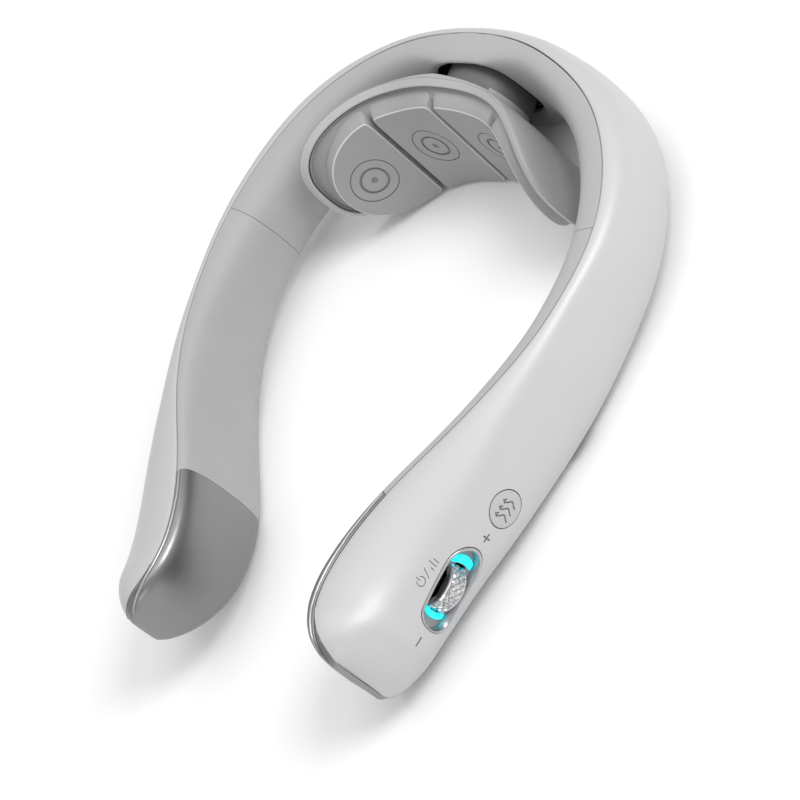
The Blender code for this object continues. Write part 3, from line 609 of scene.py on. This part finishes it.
for k in range(int(60 / HSTEP)):
    a = bend((k + 0.5) * HSTEP)
    HPATH.append((HPATH[-1][0] + math.cos(a)*HSTEP, HPATH[-1][1] - math.sin(a)*HSTEP))


def head(s, d, z):
    a = min(abs(s) / HSTEP, len(HPATH) - 1.001)
    i, t = int(a), a - int(a)
    x = HPATH[i][0]*(1 - t) + HPATH[i + 1][0]*t
    y = HPATH[i][1]*(1 - t) + HPATH[i + 1][1]*t
    q = sum(bend(abs(s) + w) if abs(s) + w > 0 else -bend(-(abs(s) + w)) for w in (-4, -3, -2, -1, 0, 1, 2, 3, 4)) / 9
    side = 1.0 if s >= 0 else -1.0
    return Vector((side * (x - d * math.sin(q)), y - d * math.cos(q), z))


def head_z(s, inset=0.0):
    a = abs(s)
    zc, h = (HEAD_Z[0] + HEAD_Z[1]) / 2, (HEAD_Z[1] - HEAD_Z[0]) / 2 - inset
    end, start = HEAD_HALF - inset, HEAD_HALF - HEAD_END
    if a > start:
        h *= max(0.0, 1 - min(1.0, (a - start) / (end - start)) ** 2.7) ** (1 / 2.7)
    crown = HEAD_CROWN * math.cos(math.pi * a / 36) ** 2 if a < 18 else 0.0
    return zc - h, zc + h + crown


def resample(pts, n):
    """n points at even spacing round a closed line, starting at its first point."""
    L = [0.0]
    for k in range(len(pts)):
        (x0, y0), (x1, y1) = pts[k], pts[(k + 1) % len(pts)]
        L.append(L[-1] + math.hypot(x1 - x0, y1 - y0))
    out, i = [], 0
    for k in range(n):
        t = L[-1] * k / n
        while L[i + 1] < t:
            i += 1
        f = (t - L[i]) / ((L[i + 1] - L[i]) or 1.0)
        (x0, y0), (x1, y1) = pts[i % len(pts)], pts[(i + 1) % len(pts)]
        out.append((x0 + (x1 - x0) * f, y0 + (y1 - y0) * f))
    return out


OUT_N = 240
_cache = {}


def outline(inset):
    if inset not in _cache:
        end, pts = HEAD_HALF - inset, []
        for k in range(3000):
            a = 2 * math.pi * k / 3000
            s = end * math.copysign(abs(math.cos(a)) ** 0.72, math.cos(a))
            lo, hi = head_z(max(-end, min(end, s)), inset)
            pts.append((s, hi if math.sin(a) >= 0 else lo))
        _cache[inset] = resample(pts, OUT_N)
    return _cache[inset]


def dish_depth(s, z):
    lo, hi = head_z(s, 0.0)
    crown = HEAD_CROWN * math.cos(math.pi * abs(s) / 36) ** 2 if abs(s) < 18 else 0.0
    t = abs((z - (lo + hi) / 2) / max(0.1, (hi - lo) / 2))
    c = math.sqrt(max(0.0, 1 - min(1.0, t) ** (2 / 0.85)))
    back = 4.2 - 3.0 * min(1.0, abs(s) / 19)
    back *= math.sqrt(max(0.03, 1 - max(0.0, (abs(s) - 30) / 24.6) ** 2))
    return back * c ** 0.8 - 0.2


def head_back():
    out = outline(0.0)
    rings = []
    for k in range(OUT_N):
        a = 2 * math.pi * k / OUT_N
        ex, ez = STEM_HALF[0] * math.cos(a), STEM_Z + STEM_HALF[1] * math.sin(a)
        ix, iz = (STEM_HALF[0] - STEM_WALL) * math.cos(a), STEM_Z + (STEM_HALF[1] - STEM_WALL) * math.sin(a)
        os_, oz = out[k]
        foot = head(ex, -dish_depth(ex, ez), ez)
        span_l = math.hypot(os_ - ex, oz - ez)
        R = min(2.6, span_l * 0.45)
        loop = [Vector((ix, STEM_END_Y, iz)), Vector((ex * 0.97, STEM_END_Y, STEM_Z + (ez - STEM_Z) * 0.97)),
                Vector((ex, STEM_END_Y - 0.4, ez))]
        A = Vector((ex, foot.y + R, ez))
        fB = R / span_l
        sb, zb = ex + (os_ - ex) * fB, ez + (oz - ez) * fB
        B = head(sb, -dish_depth(sb, zb), zb)
        for q in range(1, 4):
            loop.append(Vector((ex, STEM_END_Y - 0.4 + (A.y - STEM_END_Y + 0.4) * q / 4, ez)))
        for q in range(7):
            t = q / 6
            loop.append(A * (1 - t)**2 + foot * (2*t*(1 - t)) + B * t*t)
        for q in range(1, 15):
            f = fB + (1 - fB) * math.sin(math.pi/2 * q / 14)
            s_, z_ = ex + (os_ - ex) * f, ez + (oz - ez) * f
            loop.append(head(s_, -dish_depth(s_, z_), z_))
        loop.append(head(os_, 0.28, oz))
        # inside face
        for q in range(12, -1, -1):
            f = 0.06 + 0.90 * q / 12
            s_, z_ = ix + (os_ - ix) * f, iz + (oz - iz) * f
            loop.append(head(s_, min(0.28, -dish_depth(s_, z_) + 1.3), z_))
        loop.append(Vector((ix, foot.y - 1.0, iz)))
        rings.append(loop)
    o = make("head_back_skin", *loops_solid(rings, True), [HEADG, STEM_PAINTED_SHADE], 60)
    # Faces of the stem take the second material, the darker grey: painted shade on the stem.
    for f in o.data.polygons:
        if f.center.y / MM - ORIGIN_Y > -9.4 and abs(f.center.x) < 14.2 * MM:
            f.material_index = 1
    return o


riding(head_back(), "massage_head", "head_back_cover", slot="head_grey")


def ring_sweep(name, section_pts, mat):
    """Ring round the head from (inset, depth) pairs."""
    insets = [outline(max(0.0, round(i, 3))) for i, _ in section_pts]
    rings = [[head(insets[j][k][0], section_pts[j][1], insets[j][k][1]) for j in range(len(section_pts))] for k in range(OUT_N)]
    return make(name, *loops_solid(rings, True), mat, 50)


# The rim band is drawn in the lightened rim grey: painted highlight.
riding(ring_sweep("head_rim_band", [(0.03, 0.36), (0.02, 0.48), (0.10, 0.60), (0.26, 0.76), (1.0, 1.66), (1.14, 1.84), (1.32, 1.96), (1.52, 1.96), (1.68, 1.86), (1.76, 1.66), (1.78, 0.9), (1.0, 0.36)], RIM_PAINTED_HIGHLIGHT),
       "massage_head", "head_rim", slot="head_grey")
riding(ring_sweep("head_tray_wall", [(2.12, 0.9), (2.14, 1.5), (2.22, 1.72), (2.38, 1.8), (2.54, 1.72), (2.64, 1.5), (2.8, 1.46), (3.0, 1.7),
                                     (3.5, 2.6), (4.0, 3.4), (4.5, 3.95), (5.1, 4.22), (6.0, 4.28), (6.0, 0.9)], TRAYG),
       "massage_head", slot="head_grey")


def tray_floor():
    loops = []
    for s in steps(-49.3, 49.3, 0.8):
        lo, hi = head_z(s, 5.6)
        loops.append([head(s, 0.95, lo + (hi - lo) * k / 6) for k in range(7)] + [head(s, 4.2, hi - (hi - lo) * k / 6) for k in range(7)])
    return make("head_tray_floor", *loops_solid(loops), TRAYG)


riding(tray_floor(), "massage_head", "head_front_plate", slot="head_grey")


# Pads ----------------------------------------------------------------------------------
def rounded(corners, radii, n):
    """Closed line through corners with rounded turns; the sides may be polylines."""
    pts = []
    m = len(corners)
    for k in range(m):
        p0, p1, p2 = Vector(corners[k - 1]), Vector(corners[k]), Vector(corners[(k + 1) % m])
        r = radii[k]
        if r <= 0:
            pts.append(tuple(p1))
            continue
        a, c = (p0 - p1).normalized(), (p2 - p1).normalized()
        A, C = p1 + a * min(r, (p0 - p1).length * 0.49), p1 + c * min(r, (p2 - p1).length * 0.49)
        for q in range(9):
            t = q / 8
            pts.append(tuple(A * (1 - t)**2 + p1 * (2*t*(1 - t)) + C * t*t))
    return resample(pts, n)


def face_depth(z):
    return 7.7 - 1.2 * (z - 2) / 33


def crown_at(s):
    return HEAD_CROWN * math.cos(math.pi * abs(s) / 36) ** 2 if abs(s) < 18 else 0.0


def pad_outline(kind, grow, top, bottom, s0, s1):
    """Pad outline in (s, z): grow is not used (the caller widens s0 and s1 instead), top and bottom are its z limits.
    """
    if kind == "inner":
        edge = [(s0 + (s1 - s0) * k / 10, top + crown_at(s0 + (s1 - s0) * k / 10)) for k in range(11)]
        corners = [(s1, bottom)] + list(reversed(edge)) + [(s0, bottom)]
        radii = [1.2] + [3.4] + [0.0] * 9 + [3.4] + [1.0]
        return rounded(corners, radii, 120)
    zc, h = (top + bottom) / 2, (top - bottom) / 2
    arc = []
    x0 = s1 - 20.5
    for k in range(25):
        q = math.pi/2 - math.pi * k / 24
        arc.append((x0 + 20.5 * max(0.0, math.cos(q)) ** 0.92, zc + h * math.copysign(abs(math.sin(q)) ** 0.9, q)))
    corners = [(s0, bottom), (s0, top)] + arc
    radii = [1.4, 4.2] + [0.0] * 25
    return rounded(corners, radii, 120)


def pad(name, kind, side, s0, s1, node):
    def ring(grow, top, bottom, depth):
        pts = pad_outline(kind, grow, top, bottom, s0 - grow, s1 + grow)
        return [head(side * s, depth if not callable(depth) else depth(z), z) for s, z in pts]
    T, B = 34.6, 0.9
    lv = [ring(0.75, T + 1.3, 2.4, 1.9), ring(0.75, T + 1.3, 2.0, 2.15), ring(0.70, T + 1.2, B - 0.1, 2.35),
          ring(0.55, T + 1.0, B - 0.1, 3.4), ring(0.32, T + 0.62, B - 0.06, 5.0), ring(0.10, T + 0.2, B, lambda z: face_depth(z) - 0.55),
          ring(0.0, T, B + 0.05, lambda z: face_depth(z) - 0.28), ring(-0.10, T - 0.10, B + 0.12, lambda z: face_depth(z) - 0.11),
          ring(-0.26, T - 0.26, B + 0.26, lambda z: face_depth(z) - 0.03), ring(-0.45, T - 0.45, B + 0.45, lambda z: face_depth(z))]
    base = pad_outline(kind, 0, T - 0.45, B + 0.45, s0 + 0.45, s1 - 0.45)
    cs = sum(p[0] for p in base) / len(base)
    cz = sum(p[1] for p in base) / len(base)
    for f in (0.88, 0.74, 0.6, 0.46, 0.32, 0.2, 0.1, 0.03):
        lv.append([head(side * (cs + (s - cs) * f), face_depth(cz + (z - cz) * f) + 0.12 * (1 - f), cz + (z - cz) * f) for s, z in base])
    o = make(name, *loops_solid(lv), [PADG, EMBLEM, PAD_EDGE_PAINTED_HIGHLIGHT], 38)
    # The rounded edge ring round the pad face takes the third material, the light grey: painted highlight.
    if len(o.data.polygons) > 8 * 120:
        for f in o.data.polygons[6 * 120:8 * 120]:
            f.material_index = 2
    # engraved ring, broader inner ring and a centre dimple
    es, ez = (38.8, 17.7) if kind == "outer" else (12.8, 18.5)

    def on_face(a, b2, lift):
        s, z = es + a, ez + b2
        f = 1 - min(1.0, math.hypot((s - cs) / 12, (z - cz) / 16))
        return head(side * s, face_depth(z) + 0.12 * f + lift, z)

    def groove(r, w, dep, n=72):
        loops = []
        for k in range(n):
            c, sn = math.cos(2*math.pi*k/n), math.sin(2*math.pi*k/n)
            loops.append([on_face((r + w/2) * c, (r + w/2) * sn, 0.5), on_face((r - w/2) * c, (r - w/2) * sn, 0.5),
                          on_face((r - w*0.32) * c, (r - w*0.32) * sn, -dep), on_face((r + w*0.32) * c, (r + w*0.32) * sn, -dep)])
        return inked(make("tool", *loops_solid(loops, True), [EMBLEM, EMBLEM]))

    dim = []
    for lift, r in ((0.5, 1.05), (-0.02, 1.05), (-0.3, 0.6)):
        dim.append([on_face(r * math.cos(2*math.pi*k/32), r * math.sin(2*math.pi*k/32), lift) for k in range(32)])
    cut(o, [groove(7.1, 0.42, 0.24), groove(4.1, 1.0, 0.3), inked(make("tool", *loops_solid(dim), [EMBLEM, EMBLEM]))], 38, 0.6, False)
    riding(o, "massage_head", node, slot="pad_grey")


for side in (1, -1):
    t = TAG[side]
    pad("pad_inner_face_" + t, "inner", side, 0.8, 24.2, "pad_inner_" + t)
    pad("pad_outer_face_" + t, "outer", side, 26.2, 49.4, "pad_outer_" + t)

# ----------------------------------------------------------------------------- controls
st_o = stadium2(25.8, 11.2, 20)


def scaled(l, w):
    src = stadium2(l - 2.2, w, 20)
    return [(a + 1.05, b2) for a, b2 in resample(src, 140)]


def ring_levels(name, levels, mat, closed, sharp=45):
    return make(name, *loops_solid([[CTRL(a, b2, L) for a, b2 in scaled(l, w)] for l, w, L in levels], closed), mat, sharp)


bez = ring_levels("bezel_ring", [(25.8, 11.2, -2.6), (25.8, 11.2, -0.05), (25.6, 11.0, 0.16), (25.2, 10.6, 0.28), (24.8, 10.2, 0.26), (24.4, 9.8, 0.10),
                                 (24.1, 9.5, -0.3), (23.7, 9.1, -1.4), (23.5, 8.9, -2.6)], RING, True)
riding(bez, "right_arm", "control_bezel", slot="pearl_shell")

rect = []
for k in range(140):
    q = 2 * math.pi * k / 140 - math.pi/2
    c, sn = math.cos(q), math.sin(q)
    rect.append((6.5 * math.copysign(abs(c) ** 0.35, c), 3.4 * math.copysign(abs(sn) ** 0.35, sn)))
rect = resample(rect, 140)
st_in = scaled(23.8, 9.2)
fl = make("pocket_floor", *loops_solid([[CTRL(a, b2, -2.3) for a, b2 in st_in], [CTRL(a, b2, -2.0) for a, b2 in st_in],
                                         [CTRL(a, b2, -2.3) for a, b2 in rect], [CTRL(a, b2, -3.0) for a, b2 in rect]], True), FLOORM)
riding(fl, "right_arm")

for nm, sg in (("upper", -1), ("lower", 1)):
    pts = []
    for k in range(13):
        v = -3.4 + 6.8 * k / 12
        pts.append((sg * (8.6 - 0.10 * v * v), v))
    for k in range(12, -1, -1):
        v = -3.4 + 6.8 * k / 12
        pts.append((sg * (6.75 - 0.055 * v * v), v))
    g2 = make("light_crescent_" + nm, *loops_solid([[CTRL(a, b2, L) for a, b2 in pts] for L in (-2.25, -1.5, -1.38)]), CYAN)
    riding(g2, "right_arm", nm + "_light_guide", slot="cyan_diffuser")

# Wheel: crossed knurl in the middle, plain rounded shoulders, dished sides.
T_ = (CTRL(1, 0) - CTRL(-1, 0)).normalized()
V_ = (CTRL(0, 1) - CTRL(0, -1)).normalized()
N_ = T_.cross(V_).normalized()
if N_.x < 0:
    N_ = -N_
lo_w, hi_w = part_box("scroll_wheel")
wc = Vector(((lo_w.x + hi_w.x) / 2 / MM, (lo_w.y + hi_w.y) / 2 / MM - ORIGIN_Y, (lo_w.z + hi_w.z) / 2 / MM))
joint = {j["name"]: j for j in frame["joints"]}["wheel_spin"]
AX = Vector(joint["axis"]).normalized()
E1 = (N_ - AX * N_.dot(AX)).normalized()
E2 = AX.cross(E1)
rows = []
R_W, W2, TEETH, NA = 6.85, 2.75, 22, 264
side_profile = [(-W2 + 0.7, 1.5), (-W2 + 0.7, 4.3), (-W2, 4.8), (-W2, 6.1), (-W2 + 0.12, 6.45), (-W2 + 0.38, 6.62)]
for v, r in side_profile:
    rows.append([wc + AX*v + (E1*math.cos(2*math.pi*k/NA) + E2*math.sin(2*math.pi*k/NA)) * r for k in range(NA)])
kn = 17
for j in range(kn):
    v = (-W2 + 0.42) + (2*W2 - 0.84) * j / (kn - 1)
    loop = []
    for k in range(NA):
        th = 2 * math.pi * k / NA
        p1 = (th * TEETH / (2*math.pi) + v / 1.9) % 1.0
        p2 = (th * TEETH / (2*math.pi) - v / 1.9) % 1.0
        hgt = min(1.0, 2.6 * min(abs(p1 - 0.5), abs(p2 - 0.5)) * 2) if j not in (0, kn - 1) else 0.4
        r = R_W - 0.42 + 0.42 * hgt
        loop.append(wc + AX*v + (E1*math.cos(th) + E2*math.sin(th)) * r)
    rows.append(loop)
for v, r in reversed(side_profile):
    rows.append([wc - AX*v + (E1*math.cos(2*math.pi*k/NA) + E2*math.sin(2*math.pi*k/NA)) * r for k in range(NA)])
wheel = make("thumb_wheel_knurled", *loops_solid(rows, True), CHROME, 28)
riding(wheel, "thumb_wheel", "scroll_wheel", slot="chrome")


# Heat button: a disc that follows the skin, with three engraved wavy arrows.
def disc():
    lv = []
    for r, L in ((2.0, -3.0), (2.0, -1.3), (4.3, -1.2), (4.6, -1.05), (HEAT_R - 0.04, -0.12), (HEAT_R - 0.06, 0.0), (HEAT_R - 0.2, 0.08), (HEAT_R - 0.45, 0.12)):
        lv.append([HEAT(r * math.cos(2*math.pi*k/72), r * math.sin(2*math.pi*k/72), L) for k in range(72)])
    for r in (4.0, 3.5, 3.0, 2.5, 2.0, 1.5, 1.0, 0.5, 0.12):
        lv.append([HEAT(r * math.cos(2*math.pi*k/72), r * math.sin(2*math.pi*k/72), 0.12) for k in range(72)])
    return make("heat_button_disc", *loops_solid(lv), [BUTTON, HINK], 38)


d = disc()
tools = []
for a0 in (-1.9, 0.0, 1.9):
    wave = [(a0 + 0.5 * math.sin(2 * math.pi * (b2 + 2.3) / 3.6), b2) for b2 in [2.4 - 4.3 * k / 20 for k in range(21)]]
    tools.append(ribbon_tool(HEAT, wave, 0.52, 0.14, EMBLEM))
    ex, ey = wave[-1]
    tools.append(ribbon_tool(HEAT, line(ex - 0.62, ey + 0.5, ex, ey - 0.5, 3), 0.4, 0.14, EMBLEM))
    tools.append(ribbon_tool(HEAT, line(ex + 0.62, ey + 0.5, ex + 0.02, ey - 0.47, 3), 0.4, 0.14, EMBLEM))
cut(d, tools, 38)
riding(d, "heat_key", "heat_button", slot="pearl_shell")

# Charging socket: rounded shell with a lip and a tongue.
up = Vector((0, 0, 1))
lv = []
for l, w, z in ((9.0, 3.3, 2.8), (8.8, 3.1, 2.6), (8.3, 2.6, 2.6), (8.1, 2.4, 2.8), (8.0, 2.3, 9.4), (9.0, 3.3, 9.4)):
    lv.append([cp + ct*a + cn*b2 + up*z for a, b2 in resample(stadium2(l, w, 12), 90)])
sock = make("charging_socket_shell", *loops_solid(lv, True), STEELP, 45)
riding(sock, "right_arm", "charging_socket", slot="satin_steel")
tongue = make("charging_socket_tongue", *loops_solid([[cp + ct*a + cn*b2 + up*z for a, b2 in resample(stadium2(l, w, 8), 48)]
                                                       for l, w, z in ((6.2, 0.55, 3.4), (6.5, 0.7, 3.6), (6.5, 0.7, 8.8))]), NYLON)
riding(tongue, "right_arm")

# ------------------------------------------------------------------------ floor and light
fm, nt, b = new_material("pale_floor")
nn = noise(nt, 3.0, 2)
nt.links.new(ramp(nt, nn.outputs["Fac"], ((0.3, (0.93, 0.93, 0.935)), (0.7, (0.95, 0.95, 0.955)))).outputs["Color"], b.inputs["Base Color"])
b.inputs["Roughness"].default_value = 0.9
bpy.ops.mesh.primitive_plane_add(size=8.0, location=(0, 0, -0.0003))
floor = bpy.context.object
floor.name = "floor"
floor.data.materials.append(fm)

world = bpy.data.worlds.new("studio")
bpy.context.scene.world = world
world.use_nodes = True
world.node_tree.nodes["Background"].inputs[0].default_value = (1.0, 1.0, 1.0, 1.0)
world.node_tree.nodes["Background"].inputs[1].default_value = 0.62


def area(name, loc, target, size, size_y, power):
    l = bpy.data.lights.new(name, "AREA")
    l.shape, l.size, l.size_y, l.energy = "RECTANGLE", size, size_y, power
    o = bpy.data.objects.new(name, l)
    bpy.context.scene.collection.objects.link(o)
    o.location = loc
    o.rotation_mode = "QUATERNION"
    o.rotation_quaternion = (Vector(target) - Vector(loc)).to_track_quat("-Z", "Y")
    return o


area("key", (0.60, 0.30, 0.75), (0.05, 0, 0), 0.40, 0.40, 4.6)
area("top", (-0.1, 0.15, 1.2), (0, 0, 0), 1.1, 1.1, 4.4)
area("front", (0.55, -0.85, 0.35), (0, 0, 0.02), 0.45, 0.25, 0.8)

cam = bpy.data.cameras.new("camera")
co = bpy.data.objects.new("camera", cam)
bpy.context.scene.collection.objects.link(co)
CR, CU, CB = (0.7101069, 0.3696150, -0.5992770), (-0.0645023, 0.8817029, 0.4673751), (0.7011331, -0.2932315, 0.6499443)
co.matrix_world = Matrix(((CR[0], CU[0], CB[0], 0.884678684), (CR[1], CU[1], CB[1], -0.459030354 + ORIGIN_Y * MM),
                          (CR[2], CU[2], CB[2], 0.826326060), (0, 0, 0, 1)))
cam.lens, cam.sensor_width, cam.clip_end = 222.68977, 36.0, 20.0
bpy.context.scene.camera = co
bpy.context.scene.view_settings.view_transform = "Standard"
